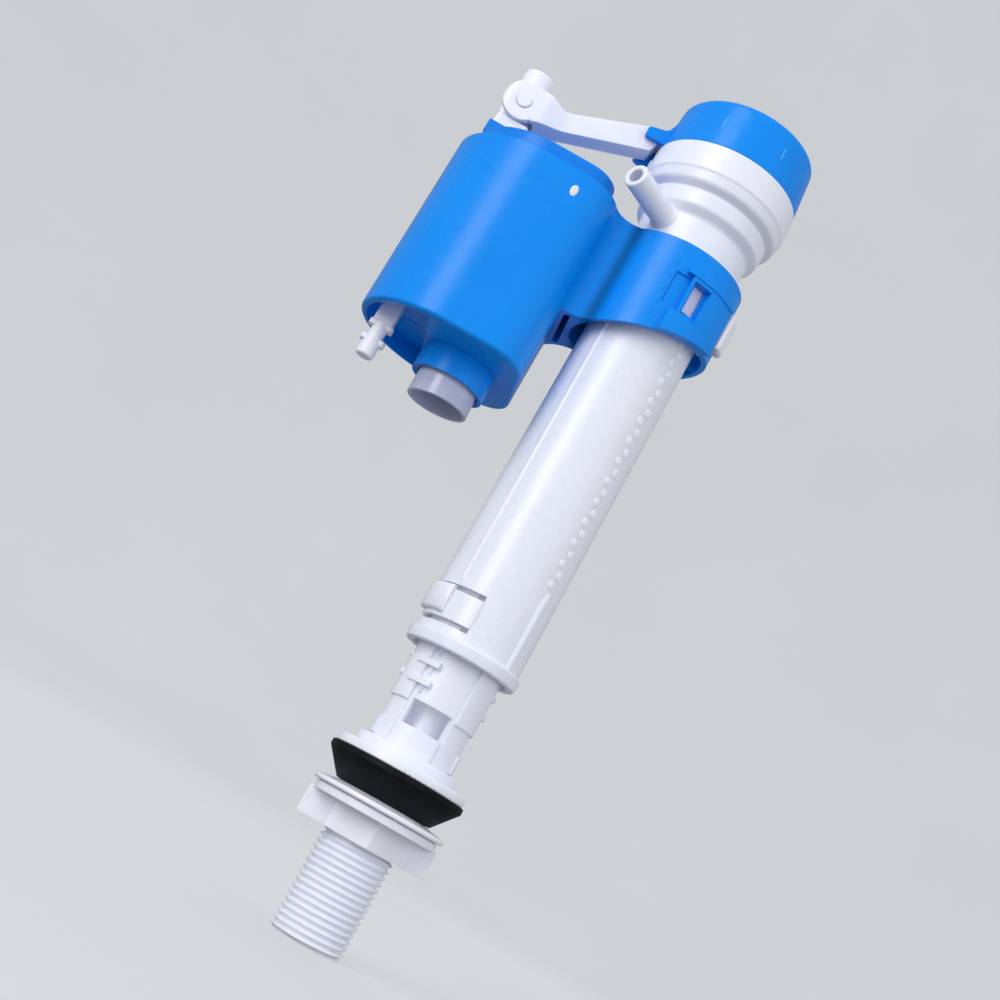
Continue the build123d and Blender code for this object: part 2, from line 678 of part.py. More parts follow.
with BuildPart() as lever_arm:
    # side outline: goose-necked nose, straight arm, round boss with a web up to its crown
    with BuildSketch(Plane.XZ.offset(-KNUCKLE_W / 2)):
        with BuildLine():
            FilletPolyline(
                [
                    (KNUCKLE_X + 4.4, KNUCKLE_Z - 4.9),
                    (-25.0, 241.6),
                    (-23.6, 245.4),
                    (-17.9, 246.4),
                    (-17.9, 250.15),
                    (-13.8, 250.15),
                    (-13.8, 252.5),
                    (-19.4, 252.5),
                    (-19.4, 249.2),
                    (-26.4, 249.2),
                    (-52.4, 238.5),
                    (-57.4, 240.2),
                    (KNUCKLE_X + 2.2, KNUCKLE_Z + 5.9),
                ],
                radius=[0, 0.8, 0.6, 0.4, 0.3, 0.6, 0.6, 0.8, 0.4, 2.0, 4.5, 2.0, 0],
                close=True,
            )
        make_face()
        with Locations((KNUCKLE_X, KNUCKLE_Z)):
            Circle(KNUCKLE_R)
    extrude(amount=KNUCKLE_W)
    # plan outline: slim arm that swells into the boss
    with BuildSketch(Plane.XY.offset(225)):
        with BuildLine():
            FilletPolyline(
                [
                    (-12.0, -LEVER_W / 2),
                    (-12.0, LEVER_W / 2),
                    (-50.5, LEVER_W / 2),
                    (-57.0, KNUCKLE_W / 2),
                    (KNUCKLE_X - 7, KNUCKLE_W / 2),
                    (KNUCKLE_X - 7, -KNUCKLE_W / 2),
                    (-57.0, -KNUCKLE_W / 2),
                    (-50.5, -LEVER_W / 2),
                ],
                radius=[0, 0, 8.0, 5.0, 3.0, 3.0, 5.0, 8.0],
                close=True,
            )
        make_face()
    extrude(amount=40, mode=Mode.INTERSECT)
    with BuildSketch(Plane.XZ.offset(-SWIVEL_W / 2 - 0.15)):
        with Locations((KNUCKLE_X, KNUCKLE_Z)):
            Circle(SWIVEL_R + 0.5)
        with Locations((KNUCKLE_X - 6, KNUCKLE_Z)):
            Rectangle(12, 30)
        with Locations((KNUCKLE_X, KNUCKLE_Z)):
            Rectangle(2 * SWIVEL_R + 1.0, 30)
    extrude(amount=SWIVEL_W + 0.3, mode=Mode.SUBTRACT)
    with BuildSketch(Plane.XZ.offset(-KNUCKLE_W)):
        with Locations((KNUCKLE_X, KNUCKLE_Z)):
            Circle(TRUNNION_R + 0.06)
    extrude(amount=2 * KNUCKLE_W, mode=Mode.SUBTRACT)
    # slot for the plunger's neck, and trunnions in the ears
    extrude(slab(8, 2.5, 244, x=PLUNGER_X + 1.4), amount=10, mode=Mode.SUBTRACT)
    with BuildSketch(Plane.XZ.offset(-EAR_IN_Y - 1.0)):
        with Locations((PIVOT_X, PIVOT_Z)):
            Circle(1.2)
    extrude(amount=2 * EAR_IN_Y + 2.0)
finish(lever_arm, "lever_arm")

# ---- swivel, adjusting screw and float hook ---------------------------------------------

with BuildPart() as screw_swivel:
    with BuildSketch(Plane.XZ.offset(-SWIVEL_W / 2)):
        with Locations((KNUCKLE_X, KNUCKLE_Z)):
            Circle(SWIVEL_R)
    extrude(amount=SWIVEL_W)
    with BuildSketch(Plane.XZ.offset(-KNUCKLE_W / 2 - 0.5)):
        with Locations((KNUCKLE_X, KNUCKLE_Z)):
            Circle(TRUNNION_R)
    extrude(amount=KNUCKLE_W + 1.0)
    extrude(disc(3.6, KNUCKLE_Z, KNUCKLE_X), amount=SCREW_HEAD_Z - KNUCKLE_Z - 0.1)
    extrude(disc(SCREW_R + 0.05, 225, KNUCKLE_X), amount=20, mode=Mode.SUBTRACT)
    ends = screw_swivel.edges().filter_by(GeomType.CIRCLE).filter_by(
        lambda e: abs(e.center().Y) > KNUCKLE_W / 2 + 0.4
    )
    fillet(ends, radius=0.35)
finish(screw_swivel, "screw_swivel")

with BuildPart() as adjusting_screw:
    extrude(disc(SCREW_HEAD_R, SCREW_HEAD_Z, KNUCKLE_X), amount=SCREW_TOP - SCREW_HEAD_Z)
    extrude(slab(7.0, 1.2, SCREW_TOP - 1.6, x=KNUCKLE_X), amount=3, mode=Mode.SUBTRACT)
    top_edges = adjusting_screw.edges().filter_by(GeomType.CIRCLE).group_by(Axis.Z)[-1]
    fillet(top_edges, radius=0.8)
    extrude(disc(SCREW_R, 221.6, KNUCKLE_X), amount=SCREW_HEAD_Z - 221.6)
finish(adjusting_screw, "adjusting_screw")

with BuildPart() as float_hook:
    extrude(slab(10.4, 9.0, HOOK_FOOT_Z, x=KNUCKLE_X, corner=1.2), amount=8.6)
    extrude(slab(10.4, 13.0, HOOK_FOOT_Z, x=KNUCKLE_X, corner=1.0), amount=1.6)
    extrude(disc(SCREW_R + 0.06, HOOK_FOOT_Z + 1.2, KNUCKLE_X), amount=12, mode=Mode.SUBTRACT)
finish(float_hook, "float_hook")

# ---- float ---------------------------------------------------------------------------

float_inset = CUP_WALL + FLOAT_GAP
with BuildPart() as inner_float:
    extrude(cup_plan(float_inset, FLOAT_LOW + 1.6), amount=FLOAT_TOP - FLOAT_LOW - 1.6)
    top_ring = inner_float.edges().group_by(Axis.Z)[-1]
    fillet(top_ring, radius=1.0)
    cavity = cup_plan(float_inset + FLOAT_WALL, FLOAT_LOW)
    extrude(cavity, amount=FLOAT_TOP - FLOAT_LOW - FLOAT_WALL, mode=Mode.SUBTRACT)
    # guide tube for the pin
    extrude(disc(4.3, FLOAT_LOW + 1.6, PIN_X, PIN_Y), amount=32.0)
    extrude(disc(2.9, FLOAT_LOW + 1.0, PIN_X, PIN_Y), amount=31.0, mode=Mode.SUBTRACT)
    # rails that hold the hook's foot and leave it room to slide
    for side in (-1, 1):
        extrude(slab(14.0, 1.6, FLOAT_TOP - 0.4, x=KNUCKLE_X + 1.6, y=side * 7.8), amount=4.0)
        extrude(slab(14.0, 3.4, FLOAT_TOP + 2.2, x=KNUCKLE_X + 1.6, y=side * 6.9), amount=1.4)
finish(inner_float, "inner_float")

with BuildPart() as float_base:
    extrude(cup_plan(float_inset, FLOAT_LOW), amount=1.6)
    extrude(cup_plan(float_inset + FLOAT_WALL + 0.05, FLOAT_LOW + 1.6), amount=1.2)
    extrude(disc(4.4, FLOAT_LOW + 1.6, PIN_X, PIN_Y), amount=1.4, mode=Mode.SUBTRACT)
    extrude(disc(2.9, FLOAT_LOW - 1, PIN_X, PIN_Y), amount=4, mode=Mode.SUBTRACT)
finish(float_base, "float_base")

# ---- float cup with its collar bracket ----------------------------------------------

with BuildPart() as float_cup:
    extrude(cup_plan(0, CUP_BOTTOM), amount=CUP_TOP - CUP_BOTTOM)
    lower_ring = float_cup.edges().group_by(Axis.Z)[0]
    fillet(lower_ring, radius=1.2)
    extrude(bracket_plan(COLLAR_BASE), amount=CUP_TOP - COLLAR_BASE)
    extrude(disc(COLLAR_R, COLLAR_BASE), amount=CUP_TOP - COLLAR_BASE)
    # proud belts around the clip window
    extrude(sector(20, BELT_R, *BLOCK_AZ, COLLAR_BASE), amount=193.0 - COLLAR_BASE)
    extrude(sector(20, BELT_R, 30.5, BLOCK_AZ[1], 193.0), amount=12.2)
    extrude(sector(20, BELT_R + 0.3, *BLOCK_AZ, 204.8), amount=1.7)
    extrude(sector(20, BELT_R, 10.5, 30.5, 193.0), amount=12.0)
    extrude(sector(COLLAR_R - 0.1, 30, 13, 28.5, 193.0), amount=10.6, mode=Mode.SUBTRACT)
    extrude(sector(COLLAR_R - 0.6, 30, -3, 10.5, 193.6), amount=10.6, mode=Mode.SUBTRACT)
    # slanted lower edge of the collar
    with BuildSketch(Plane.XZ.offset(-40)):
        with BuildLine():
            Polyline(
                (CUP_RIGHT + 0.01, COLLAR_BASE - 2),
                (40, COLLAR_BASE - 2),
                (40, COLLAR_LOW_Z + 40 * COLLAR_SLOPE),
                (CUP_RIGHT + 0.01, COLLAR_LOW_Z + CUP_RIGHT * COLLAR_SLOPE),
                close=True,
            )
        make_face()
    extrude(amount=80, mode=Mode.SUBTRACT)
    # bore for the tube, hollow web, cup cavity
    extrude(disc(COLLAR_IN_R, COLLAR_BASE - 5), amount=50, mode=Mode.SUBTRACT)
    with BuildSketch(Plane.XY.offset(COLLAR_BASE - 5)):
        with Locations((-21.6, 0)):
            Rectangle(1.8, 23.0)
    extrude(amount=34, mode=Mode.SUBTRACT)
    extrude(cup_plan(CUP_WALL, CUP_BOTTOM + CUP_FLOOR_T), amount=70, mode=Mode.SUBTRACT)
    # raised floor over the pocket, then the pocket itself, open below
    pocket_floor = cup_plan(CUP_WALL - 0.2, CUP_BOTTOM)
    extrude(pocket_floor & slab(40, 60, CUP_BOTTOM, x=POCKET_RIGHT - 18.2), amount=7.2)
    pocket = cup_plan(CUP_WALL + 0.2, CUP_BOTTOM - 1) & slab(
        40, 60, CUP_BOTTOM - 1, x=POCKET_RIGHT - 20
    )
    extrude(pocket, amount=POCKET_Z - CUP_BOTTOM + 1, mode=Mode.SUBTRACT)
    # drain socket and seat
    extrude(disc(SOCKET_R, SOCKET_LOW, SOCKET_X), amount=CUP_BOTTOM - SOCKET_LOW + 0.5)
    extrude(disc(SOCKET_IN_R, SOCKET_LOW - 1, SOCKET_X), amount=CUP_BOTTOM - SOCKET_LOW + 1,
            mode=Mode.SUBTRACT)
    with BuildSketch(Plane.XY.offset(SOCKET_LOW + 0.3)):
        with Locations((SOCKET_X, 0)):
            Circle(SOCKET_IN_R + 0.2)
            Circle(DRAIN_R + 0.45, mode=Mode.SUBTRACT)
    extrude(amount=0.8)
    extrude(disc(DRAIN_SEAT_R, CUP_BOTTOM - 1, SOCKET_X), amount=6, mode=Mode.SUBTRACT)
    # hole for the guide pin
    extrude(disc(2.05, POCKET_Z - 1, PIN_X, PIN_Y), amount=6, mode=Mode.SUBTRACT)
    # clip window and tab slot
    extrude(sector(17, 30, 15.5, 27, 194.6), amount=9.0, mode=Mode.SUBTRACT)
    extrude(sector(17, 30, *TAB_SLOT_AZ, TAB_SLOT_Z[0]),
            amount=TAB_SLOT_Z[1] - TAB_SLOT_Z[0], mode=Mode.SUBTRACT)
    # guide ribs inside the collar
    for azimuth in (-150, -110, -40, 110, 150):
        extrude(sector(TUBE_R + 0.45, COLLAR_IN_R + 0.4, azimuth - 3, azimuth + 3, 191.5),
                amount=16.0)
finish(float_cup, "float_cup")

with BuildPart() as float_guide_pin:
    extrude(disc(2.7, PIN_TIP_Z, PIN_X, PIN_Y), amount=5.0)
    extrude(disc(2.3, PIN_TIP_Z + 5.0, PIN_X, PIN_Y), amount=6.2)
    for lug_z in PIN_LUG_Z:
        extrude(slab(7.4, 3.4, lug_z, PIN_X, PIN_Y, corner=1.2), amount=1.5)
    extrude(slab(6.0, 5.0, PIN_LUG_Z[1] + 1.4, PIN_X, PIN_Y, corner=0.8),
            amount=POCKET_Z - 0.02 - PIN_LUG_Z[1] - 1.4)
    tip_edge = float_guide_pin.edges().group_by(Axis.Z)[0]
    fillet(tip_edge, radius=0.7)
    extrude(disc(2.0, POCKET_Z - 0.5, PIN_X, PIN_Y), amount=189.5 - POCKET_Z + 0.5)
finish(float_guide_pin, "float_guide_pin")

# ---- lock clip in the collar ----------------------------------------------------------

with BuildPart() as cup_lock_clip:
    extrude(sector(CLIP_IN_R, CLIP_OUT_R, 8, 77, CLIP_Z[0]), amount=CLIP_Z[1] - CLIP_Z[0])
    extrude(sector(CLIP_OUT_R - 0.5, TAB_R, 60, 76, TAB_Z[0]), amount=TAB_Z[1] - TAB_Z[0])
    tab_edges = cup_lock_clip.edges().filter_by(
        lambda e: math.hypot(e.center().X, e.center().Y) > 22.5
    )
    fillet(tab_edges, radius=1.0)
finish(cup_lock_clip, "cup_lock_clip")

# ---- drain valve under the cup ------------------------------------------------------------

drain_tilt = Location((SOCKET_X, 0, DRAIN_MID_Z), (0, DRAIN_TILT, 0))

with BuildPart() as drain_cup:
    revolve(
        turned([
            (DRAIN_R - 1.0, DRAIN_LOW - DRAIN_MID_Z, 0),
            (DRAIN_R, DRAIN_LOW - DRAIN_MID_Z, 0.2),
            (DRAIN_R - 0.15, -0.6, 0),
            (DRAIN_R + 0.75, -0.4, 0),
            (DRAIN_R + 0.75, 0.5, 0.2),
            (DRAIN_R - 0.2, 0.8, 0),
            (DRAIN_R - 0.2, 1.9, 0.5),
            (0, 1.9, 0),
            (0, 0.9, 0),
            (DRAIN_R - 1.2, 0.9, 0.5),
        ]),
        axis=Axis.Z,
    )
drain_cup.part = drain_cup.part.moved(drain_tilt)
finish(drain_cup, "drain_cup")

with BuildPart() as drain_seal:
    revolve(ring(0, 7.9, 1.92, 3.1), axis=Axis.Z)
drain_seal.part = drain_seal.part.moved(drain_tilt)
finish(drain_seal, "drain_seal")
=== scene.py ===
"""Looks of the toilet fill valve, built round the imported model. Lengths are in metres."""
import json
import math

import bmesh
import bpy
from mathutils import Matrix, Vector


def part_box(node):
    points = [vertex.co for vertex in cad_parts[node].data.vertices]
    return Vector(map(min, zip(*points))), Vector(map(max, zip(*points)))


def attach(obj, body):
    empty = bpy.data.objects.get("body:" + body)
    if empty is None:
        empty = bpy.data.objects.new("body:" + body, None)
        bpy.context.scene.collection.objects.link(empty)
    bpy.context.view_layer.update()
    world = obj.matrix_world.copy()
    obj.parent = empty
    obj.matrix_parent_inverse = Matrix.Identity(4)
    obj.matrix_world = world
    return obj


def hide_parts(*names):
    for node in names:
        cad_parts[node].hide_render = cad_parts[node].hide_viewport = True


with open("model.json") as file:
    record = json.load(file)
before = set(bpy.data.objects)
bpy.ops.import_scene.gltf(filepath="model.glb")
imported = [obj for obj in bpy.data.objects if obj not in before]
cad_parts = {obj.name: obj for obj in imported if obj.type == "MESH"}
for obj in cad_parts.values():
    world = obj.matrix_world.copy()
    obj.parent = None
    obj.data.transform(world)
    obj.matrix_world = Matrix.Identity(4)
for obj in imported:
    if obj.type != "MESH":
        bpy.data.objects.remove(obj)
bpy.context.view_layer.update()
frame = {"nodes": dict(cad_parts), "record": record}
MM = 0.001
NODES = frame["nodes"]


# ---- materials ----------------------------------------------------------------


class Shader:
    """A Principled material with small helpers for its procedural nodes."""

    def __init__(self, name):
        self.material = bpy.data.materials.new(name)
        self.material.use_nodes = True
        self.nodes = self.material.node_tree.nodes
        self.links = self.material.node_tree.links
        self.bsdf = self.nodes["Principled BSDF"]
        self.place = self.nodes.new("ShaderNodeTexCoord").outputs["Object"]

    def stretch(self, scale):
        """The object coordinates, scaled apart along each axis."""
        mapping = self.nodes.new("ShaderNodeMapping")
        mapping.inputs["Scale"].default_value = scale
        self.links.new(self.place, mapping.inputs["Vector"])
        return mapping.outputs["Vector"]

    def noise(self, scale, detail=3.0, rough=0.5, vector=None, distortion=0.0):
        node = self.nodes.new("ShaderNodeTexNoise")
        node.inputs["Scale"].default_value = scale
        node.inputs["Detail"].default_value = detail
        node.inputs["Roughness"].default_value = rough
        node.inputs["Distortion"].default_value = distortion
        self.links.new(vector or self.place, node.inputs["Vector"])
        return node.outputs["Fac"]

    def ramp(self, value, low, high, to_low=0.0, to_high=1.0):
        node = self.nodes.new("ShaderNodeMapRange")
        node.inputs["From Min"].default_value = low
        node.inputs["From Max"].default_value = high
        node.inputs["To Min"].default_value = to_low
        node.inputs["To Max"].default_value = to_high
        self.links.new(value, node.inputs["Value"])
        return node.outputs["Result"]

    def math(self, operation, first, second):
        node = self.nodes.new("ShaderNodeMath")
        node.operation = operation
        for socket, value in zip(node.inputs, (first, second)):
            if isinstance(value, float):
                socket.default_value = value
            else:
                self.links.new(value, socket)
        return node.outputs["Value"]

    def mix(self, factor, first, second):
        node = self.nodes.new("ShaderNodeMix")
        node.data_type = "RGBA"
        self.links.new(factor, node.inputs["Factor"])
        for socket, value in ((node.inputs[6], first), (node.inputs[7], second)):
            if isinstance(value, tuple):
                socket.default_value = (*value, 1.0)
            else:
                self.links.new(value, socket)
        return node.outputs[2]

    def colour(self, value):
        self.links.new(value, self.bsdf.inputs["Base Color"])

    def roughness(self, value):
        self.links.new(value, self.bsdf.inputs["Roughness"])

    def bump(self, height, strength, distance, below=None):
        node = self.nodes.new("ShaderNodeBump")
        node.inputs["Strength"].default_value = strength
        node.inputs["Distance"].default_value = distance
        self.links.new(height, node.inputs["Height"])
        if below is not None:
            self.links.new(below, node.inputs["Normal"])
        self.links.new(node.outputs["Normal"], self.bsdf.inputs["Normal"])
        return node.outputs["Normal"]

    def set(self, **values):
        """Constant values on the shader's own sockets."""
        for name, value in values.items():
            self.bsdf.inputs[name.replace("_", " ")].default_value = value


def scratches(shader, scale, density):
    """Thin random handling marks: a stretched noise cut to its crests, 0 to 1."""
    warped = shader.noise(scale, 2.0, 0.5, shader.stretch((9.0, 9.0, 0.7)), 0.6)
    return shader.ramp(warped, density, density + 0.03)


PLASTIC_IOR = 1.49
# where the shank's painted glow shows, and its colour
SLEEVE_INSIDE_R = 10.4 * MM
TUBE_FOOT_Z = 86.5 * MM
PAINTED_GLOW_COLOUR = (0.085, 0.087, 0.092)


def painted_inner_glow(shader):
    """Painted glow: an emission that stands in for light soaking through thin walls, inside the
    sleeve and above the tube's foot.
    """
    split = shader.nodes.new("ShaderNodeSeparateXYZ")
    shader.links.new(shader.place, split.inputs["Vector"])
    across = shader.math("MULTIPLY", split.outputs["X"], split.outputs["X"])
    deep = shader.math("MULTIPLY", split.outputs["Y"], split.outputs["Y"])
    from_axis = shader.math("POWER", shader.math("ADD", across, deep), 0.5)
    in_sleeve = shader.math("LESS_THAN", from_axis, SLEEVE_INSIDE_R)
    in_tube = shader.math("GREATER_THAN", split.outputs["Z"], TUBE_FOOT_Z)
    inside = shader.math("MAXIMUM", in_sleeve, in_tube)
    painted_glow = shader.mix(inside, (0.0, 0.0, 0.0), PAINTED_GLOW_COLOUR)
    shader.links.new(painted_glow, shader.bsdf.inputs["Emission Color"])
    shader.set(Emission_Strength=1.0)


def moulded_white(name, base, shade, rough=0.34, sub=0.35, painted_glow=False):
    """Satin white polypropylene: cloudy, slightly see-through, with flow marks and fine grain."""
    shader = Shader(name)
    cloud = shader.ramp(shader.noise(85.0, 4.0, 0.6), 0.32, 0.7)
    along = shader.stretch((1.0, 1.0, 0.12))
    flow = shader.ramp(shader.noise(110.0, 3.0, 0.55, along), 0.35, 0.7)
    blend = shader.math("MULTIPLY", shader.math("ADD", cloud, flow), 0.5)
    shader.colour(shader.mix(blend, base, shade))
    patch = shader.noise(240.0, 3.0, 0.55)
    shader.roughness(shader.ramp(patch, 0.3, 0.7, rough - 0.02, rough + 0.03))
    waves = shader.bump(patch, 0.05, 0.0001)
    shader.bump(shader.noise(2400.0, 2.0, 0.6), 0.10, 0.00002, waves)
    shader.set(Subsurface_Weight=sub, Subsurface_Radius=(1.0, 1.0, 1.15))
    shader.set(Subsurface_Scale=2.0 * MM, IOR=PLASTIC_IOR)
    # optionally a painted glow inside the sleeve and above the tube's foot
    if painted_glow:
        painted_inner_glow(shader)
    return shader.material


# painted shade in the valley between the cup and the collar: where it lies, how strongly it is
# mixed in, how dark it is, and the specular level it dims to
VALLEY_X = -16.0 * MM         # where the web runs into the collar
VALLEY_HALF = 3.4 * MM
ABOVE_CUP_Z = 216.0 * MM
VALLEY_SHADE_MIX = 0.8
VALLEY_SHADE_LEVEL = 0.3               # brightness of the painted shade in the valley, of the plain blue's
PLAIN_SPECULAR = 0.2
VALLEY_SPECULAR = 0.03


def painted_valley_shade(shader):
    """Mask for painted shade: 1 in the deep valley where the collar's web is thickest, 0 away from
    it and above the cup.
    """
    split = shader.nodes.new("ShaderNodeSeparateXYZ")
    shader.links.new(shader.place, split.inputs["Vector"])
    beside = shader.math("ABSOLUTE", shader.math("SUBTRACT", split.outputs["X"], VALLEY_X), 0.0)
    deep = shader.ramp(beside, VALLEY_HALF, 0.0)
    deep.node.interpolation_type = "SMOOTHSTEP"
    on_cup = shader.math("LESS_THAN", split.outputs["Z"], ABOVE_CUP_Z)
    return shader.math("MULTIPLY", deep, on_cup)


def moulded_blue(name, base, shade, rough=0.27):
    """Glossy azure polypropylene: faint flow marks, scratches, sparse specks, and painted shade
    with a dimmed sheen in the deep valley.
    """
    shader = Shader(name)
    along = shader.stretch((1.0, 1.0, 0.35))
    flow = shader.ramp(shader.noise(40.0, 4.0, 0.6, along), 0.3, 0.72)
    marks = scratches(shader, 60.0, 0.75)
    specks = shader.ramp(shader.noise(900.0, 1.0, 0.5), 0.79, 0.82)
    worn = shader.math("MAXIMUM", marks, specks)
    pale = tuple(min(1.0, 0.75 * c + 0.12) for c in base)
    # painted shade: the valley between cup and collar is mixed towards a dark blue
    valley_shade = painted_valley_shade(shader)
    deep = tuple(VALLEY_SHADE_LEVEL * c for c in base)
    shade_amount = shader.math("MULTIPLY", valley_shade, VALLEY_SHADE_MIX)
    body = shader.mix(shade_amount, shader.mix(flow, base, shade), deep)
    shader.colour(shader.mix(shader.math("MULTIPLY", worn, 0.4), body, pale))
    patch = shader.noise(180.0, 3.0, 0.6)
    base_rough = shader.ramp(patch, 0.3, 0.7, rough - 0.04, rough + 0.06)
    dull = shader.math("MAXIMUM", worn, valley_shade)
    shader.roughness(shader.math("ADD", base_rough, shader.math("MULTIPLY", dull, 0.25)))
    waves = shader.bump(shader.noise(70.0, 2.0, 0.5), 0.10, 0.0003)
    shader.bump(shader.noise(2000.0, 2.0, 0.6), 0.06, 0.00002, waves)
    shader.set(Subsurface_Weight=0.1, Subsurface_Radius=(0.1, 0.5, 1.0))
    shader.set(Subsurface_Scale=1.2 * MM, IOR=PLASTIC_IOR)
    # the painted valley shade also turns the specular level down there
    specular = shader.ramp(valley_shade, 0.0, 1.0, PLAIN_SPECULAR, VALLEY_SPECULAR)
    shader.links.new(specular, shader.bsdf.inputs["Specular IOR Level"])
    return shader.material


def soft_rubber(name, base, rough):
    """Matte black rubber with a dusty bloom."""
    shader = Shader(name)
    bloom = shader.ramp(shader.noise(130.0, 5.0, 0.65), 0.42, 0.75)
    dusty = tuple(2.0 * c + 0.002 for c in base)
    shader.colour(shader.mix(bloom, base, dusty))
    shader.roughness(shader.ramp(bloom, 0.0, 1.0, rough, rough + 0.15))
    shader.bump(shader.noise(1600.0, 3.0, 0.6), 0.25, 0.00005)
    shader.set(Specular_IOR_Level=0.2)
    return shader.material


def frosted(name, base, shade):
    """Thin milky plastic that lets some light through."""
    shader = Shader(name)
    cloud = shader.ramp(shader.noise(140.0, 4.0, 0.6), 0.35, 0.7)
    shader.colour(shader.mix(cloud, base, shade))
    shader.roughness(shader.ramp(shader.noise(400.0, 2.0, 0.5), 0.3, 0.7, 0.16, 0.26))
    shader.bump(shader.noise(1500.0, 2.0, 0.6), 0.08, 0.00002)
    shader.set(Subsurface_Weight=0.5, Subsurface_Radius=(0.9, 0.95, 1.0))
    shader.set(Subsurface_Scale=1.0 * MM, IOR=1.5)
    return shader.material


# each pair is the plain colour and its shade
WHITE = (0.80, 0.82, 0.915), (0.775, 0.80, 0.895)
TUBE_WHITE = (0.79, 0.815, 0.92), (0.765, 0.795, 0.90)
DOT_WHITE = (0.80, 0.825, 0.92), (0.785, 0.81, 0.91)
LEVER_WHITE = (0.80, 0.815, 0.895), (0.775, 0.79, 0.87)
AZURE = (0.002, 0.250, 0.82), (0.0015, 0.226, 0.77)
# the float's blue is darker than the cup's: painted shade on the float's side behind the cup's rim
SHADED_FLOAT_BLUE = (0.002, 0.205, 0.73), (0.0015, 0.185, 0.68)
# a paler blue, painted as a highlight on the cup's rim bead and the cap's witness lines
PAINTED_HIGHLIGHT_BLUE = (0.09, 0.43, 0.92), (0.08, 0.40, 0.90)
MILKY = (0.50, 0.53, 0.68), (0.44, 0.47, 0.62)
MATERIALS = {
    "white_moulding": moulded_white("white_moulding", *WHITE),
    "white_tube": moulded_white("white_tube", *TUBE_WHITE, rough=0.28),
    "tube_dot_white": moulded_white("tube_dot_white", *DOT_WHITE, sub=0.0),
    # the shank's white, with a painted glow inside
    "shank_white_painted_glow": moulded_white("shank_white_painted_glow", *WHITE, painted_glow=True),
    "white_lever": moulded_white("white_lever", *LEVER_WHITE, rough=0.4),
    "blue_plastic": moulded_blue("blue_plastic", *AZURE),
    "blue_float": moulded_blue("blue_float", *SHADED_FLOAT_BLUE, rough=0.3),
    "blue_painted_highlight": moulded_blue("blue_painted_highlight", *PAINTED_HIGHLIGHT_BLUE),
    "black_rubber": soft_rubber("black_rubber", (0.0035, 0.004, 0.0055), 0.5),
    "seal_rubber": soft_rubber("seal_rubber", (0.010, 0.010, 0.011), 0.4),
    "frosted_plastic": frosted("frosted_plastic", *MILKY),
}
SLOT_OF = {row["node"]: row["material_slot"] for row in frame["record"]["subparts"]}


def paint(piece, slot):
    piece.data.materials.clear()
    piece.data.materials.append(MATERIALS[slot])


# ---- carried-over nodes ----------------------------------------------------------


def soften(piece, width, angle=32):
    """Rounds a piece's sharp moulded edges and shades the rest smoothly."""
    weld = piece.modifiers.new("weld", "WELD")
    weld.merge_threshold = 0.002 * MM
    bevel = piece.modifiers.new("edges", "BEVEL")
    bevel.width = width * MM
    bevel.segments = 2
    bevel.limit_method = "ANGLE"
    bevel.angle_limit = math.radians(angle)
    normals = piece.modifiers.new("normals", "WEIGHTED_NORMAL")
    normals.keep_sharp = False
    normals.weight = 80


EDGE_WIDTHS = {    # millimetres
    "tank_gasket": 0.2, "slip_washer": 0.15, "lock_nut": 0.3, "outer_tube": 0.15,
    "height_latch": 0.35, "valve_head": 0.15, "valve_cap": 0.25, "lever_arm": 0.55,
    "screw_swivel": 0.2, "adjusting_screw": 0.25, "float_hook": 0.4, "inner_float": 0.3,
    "float_cup": 0.35, "cup_lock_clip": 0.4, "drain_cup": 0.12, "float_guide_pin": 0.3,
}
for node_name, node_piece in NODES.items():
    paint(node_piece, SLOT_OF[node_name])
    if node_name in EDGE_WIDTHS:
        soften(node_piece, EDGE_WIDTHS[node_name])

# ---- modelled details ---------------------------------------------------------------


def polar(radius, azimuth, height=0.0):
    """Millimetres to a point in metres; azimuth 0 faces -Y and 90 faces +X."""
    angle = math.radians(azimuth)
    return Vector((radius * math.sin(angle), -radius * math.cos(angle), height)) * MM


def new_piece(name, shape, slot, body, smooth_angle=50.0):
    """Turns a bmesh into a painted piece that rides on a body."""
    bmesh.ops.recalc_face_normals(shape, faces=shape.faces)
    mesh = bpy.data.meshes.new(name)
    shape.to_mesh(mesh)
    shape.free()
    mesh.polygons.foreach_set("use_smooth", [True] * len(mesh.polygons))
    mesh.set_sharp_from_angle(angle=math.radians(smooth_angle))
    piece = bpy.data.objects.new(name, mesh)
    bpy.context.scene.collection.objects.link(piece)
    paint(piece, slot)
    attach(piece, body)
    return piece


def skin(shape, rows):
    """Quads between rows of vertices that close on themselves."""
    for row, above in zip(rows, rows[1:]):
        count = len(row)
        for k in range(count):
            shape.faces.new((row[k], row[(k + 1) % count], above[(k + 1) % count], above[k]))


# the shank, in millimetres
AROUND = 96                 # steps round it
THREAD_CREST = 10.4775
THREAD_PITCH = 25.4 / 14
THREAD_ROOT = THREAD_CREST - 0.640327 * THREAD_PITCH
THREAD_START = -1.87        # the helix begins below the end face, which cuts it off
THREAD_TURNS = 26
END_CHAMFER = 0.75
SHANK_CUT = 46.5
BORE_R = 7.0


def ring_of_verts(shape, radius, height):
    """A level ring of vertices round the tube axis, in millimetres."""
    return [shape.verts.new(polar(radius, 360.0 * k / AROUND, height)) for k in range(AROUND)]


def thread_rise(phase):
    """Height above the root, 0 to 1, over one pitch: a V with a rounded crest and root."""
    ramp = (1.0 - abs(2.0 * phase - 1.0) - 0.06) / 0.88
    ramp = min(max(ramp, 0.0), 1.0)
    return ramp - 0.06 * math.sin(2.0 * math.pi * ramp) * 0.5


def thread_radius(phase, height, left):
    """The helix's radius: it fades out over its last turns and is chamfered at the end face."""
    fade = min(1.0, max(left, 0.0) / 0.6)
    radius = THREAD_ROOT + (THREAD_CREST - THREAD_ROOT) * thread_rise(phase) * fade
    return min(radius, THREAD_CREST - END_CHAMFER + max(height, 0.0))


